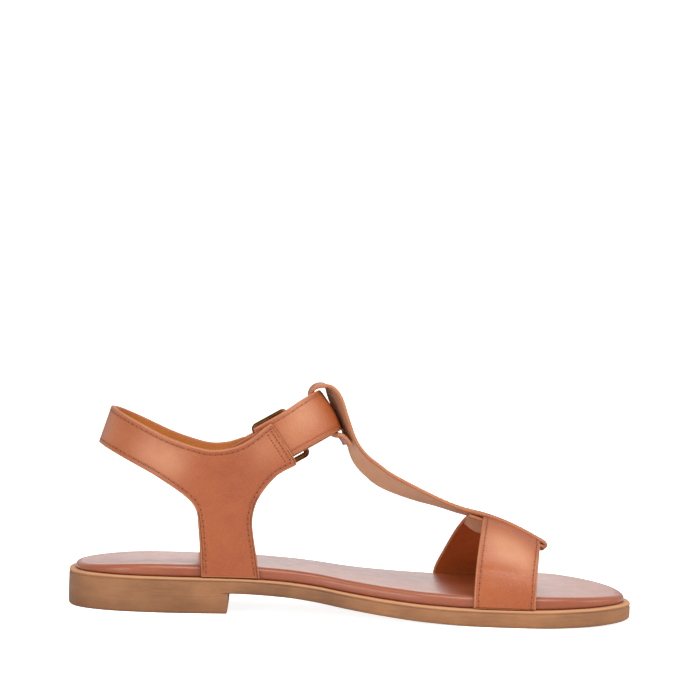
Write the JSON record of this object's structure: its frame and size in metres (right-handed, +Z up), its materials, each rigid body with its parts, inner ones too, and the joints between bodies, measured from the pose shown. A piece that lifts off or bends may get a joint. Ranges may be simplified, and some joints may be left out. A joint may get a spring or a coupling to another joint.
{
  "type": "sandal",
  "caption": "Flat leather T-strap sandal for the left foot, with a broad toe strap, an instep strap looped over a buckled ankle strap, a heel strap and a low block heel.",
  "frame": {"origin": "under the middle of the bounding box, on the plane that heel and forefoot stand on", "axes": "+X from heel to toe, +Y to the outer side of the foot where the buckle is, +Z up"},
  "size_m": [0.252, 0.0904, 0.1025],
  "materials": {
    "sole": "matt, moulded",
    "insole_leather": "smooth, glossy",
    "strap_leather": "smooth, satin",
    "buckle_brass": "polished"
  },
  "bodies": {
    "root": {"outsole": "sole", "heel": "sole", "insole": "insole_leather", "vamp_straps": "strap_leather", "heel_quarter": "strap_leather", "ankle_strap": "strap_leather", "buckle_frame": "buckle_brass", "buckle_prong": "buckle_brass"}
  },
  "joints": []
}
